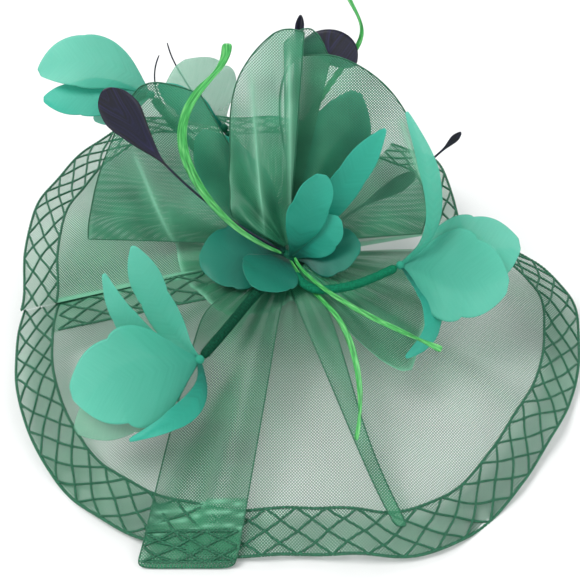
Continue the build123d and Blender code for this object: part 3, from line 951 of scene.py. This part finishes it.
def camera():
    data = bpy.data.cameras.new("camera")
    data.lens = 58.4
    data.sensor_width = 36
    data.clip_start = 0.01
    obj = bpy.data.objects.new("camera", data)
    bpy.context.scene.collection.objects.link(obj)
    obj.location = (0.0017, -0.590, 0.562)
    obj.rotation_euler = (radians(45), 0, 0)
    bpy.context.scene.camera = obj


def area_light(name, place, aim, size, power):
    data = bpy.data.lights.new(name, "AREA")
    data.shape = "DISK"
    data.size = size
    data.energy = power
    obj = bpy.data.objects.new(name, data)
    obj.location = place
    obj.rotation_euler = (Vector(aim) - Vector(place)).to_track_quat("-Z", "Y").to_euler()
    bpy.context.scene.collection.objects.link(obj)


def studio():
    area_light("key", (-0.9, -0.3, 1.7), (0, 0, 0.05), 1.0, 24)
    area_light("fill", (1.3, -1.1, 1.0), (0, 0, 0.05), 1.4, 8)
    area_light("back", (0.3, 1.5, 1.2), (0, 0, 0.1), 1.0, 10)
    world = bpy.data.worlds.new("studio")
    world.use_nodes = True
    world.node_tree.nodes["Background"].inputs["Color"].default_value = (0.95, 0.98, 1.0, 1)
    world.node_tree.nodes["Background"].inputs["Strength"].default_value = 0.62
    bpy.context.scene.world = world
    bpy.context.scene.view_settings.view_transform = "Standard"
    low, _ = cad_box
    reach, level = 6.0, low[2] - 0.001
    mesh = grid_mesh("floor", np.array([[(x, y, level) for x in (-reach, reach)] for y in (-reach, reach)]))
    mesh.materials.append(floor_paint())
    floor = bpy.data.objects.new("floor", mesh)
    bpy.context.scene.collection.objects.link(floor)


# ---------------------------------------------------------------- assembly

def middle_of(node):
    low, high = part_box(node)
    return np.array((low + high) / 2)


def crin():
    brim_panel("brim_front", creases=[(-112, 3), (-69, 2.5), (-150, 4), (-30, 4), (2, 5)], sheer=0.18,
               collar=COLLAR, side_band=True, overlap=2.5)
    brim_panel("brim_back_left", creases=[(80, 5), (110, 5), (145, 4)], sheer=0.44, overlap=5)
    brim_panel("brim_back_right", creases=[(35, 5), (52, 4)], sheer=0.36)
    fan("fan_left", pleats=1.5, depth=0.004, creases=[((-166, 90), (-172, 4)), ((-128, 82), (-98, 2))])
    fan("fan_centre", forward=0.007, bow=0.006, pleats=2.5, depth=0.004, cover=0.46,
        creases=[((-48, 30), (-50, 128)), ((-20, 22), (-30, 150)), ((3, 16), (1, 165))])
    fan("fan_right", bow=-0.004, pleats=1.5, depth=0.004, creases=[((112, 60), (92, 110))])
    fan("fan_back", forward=-0.006, bow=-0.002, pleats=1, depth=0.002, cover=0.35)
    tail("tail_left", 0.24, folded_from=-0.205)
    tail("tail_right", 0.45)


def centre_flower():
    core = middle_of("centre_binding")
    looks = {"petal_left": petal_deep, "petal_front": petal_deep, "petal_twin": petal_bright,
             "petal_low_right": petal_bright, "petal_lance": petal_bright, "petal_pale_right": petal_deep,
             "petal_behind_left": petal_bright, "petal_behind_right": petal_bright}
    for seed, (node, material) in enumerate(looks.items()):
        petal(node, "headpiece", core, material, seed)


# How far some petals depart from the plain leaf: fuller near the foot, blunter at the tip.
SHAPES = {"petal_upright": {"blunt": 0.5}, "petal_tall": {"full": -0.2}, "petal_big": {"full": 0.34},
          "petal_large": {"full": 0.1}, "petal_front": {"full": 0.34}}


def satellite_flowers():
    flowers = {"right": ["petal_tall", "petal_front", "petal_behind", "petal_small"],
               "lower_left": ["petal_big", "petal_pale", "petal_upright", "petal_ragged", "petal_point"],
               "upper_left": ["petal_large", "petal_sheer", "petal_small"],
               "middle_left": ["petal_round", "petal_band"]}
    special = {"lower_left_petal_pale": petal_pale, "upper_left_petal_sheer": petal_bright,
               "middle_left_petal_round": petal_pale, "middle_left_petal_band": petal_bright,
               "right_petal_small": petal_bright, "lower_left_petal_point": petal_bright}
    for name, leaves in flowers.items():
        core = middle_of(f"{name}_neck")
        for seed, leaf in enumerate(leaves):
            node = f"{name}_{leaf}"
            petal(node, f"{name}_flower", core, special.get(node, petal_mint), seed + len(name),
                  **SHAPES.get(leaf, {}))
        wound_ball(f"{name}_neck", f"{name}_flower", thread if name == "middle_left" else neck_thread)
        route = STEM_ROUTES[name]
        last = np.array(route[-1]) * MILLIMETRE
        end = core + (last - core) / np.linalg.norm(last - core) * STEM_STOP
        material, ridge = (chenille_bright, 0.02) if name == "right" else (chenille_dark, 0.12)
        chenille(f"{name}_stem", route, end, material, ridge)


def feathers():
    core = middle_of("centre_binding")
    for place in ("left", "top", "upright", "right", "far", "tips"):
        black(f"feather_{place}", core)
    for place in ("left", "top", "right", "front"):
        quill(f"quill_{place}", core)


def base():
    binding()
    pad_stitches()
    for node, material in {"felt_base_pad": felt, "buckram_disc": buckram, "clip_upper_jaw": steel,
                           "clip_lower_jaw": steel, "clip_hinge_pin": steel, "clip_spring": steel,
                           "clip_stitches": thread}.items():
        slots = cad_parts[node].material_slots
        for slot in slots:
            slot.material = material


camera()
crin()
centre_flower()
satellite_flowers()
feathers()
base()
studio()
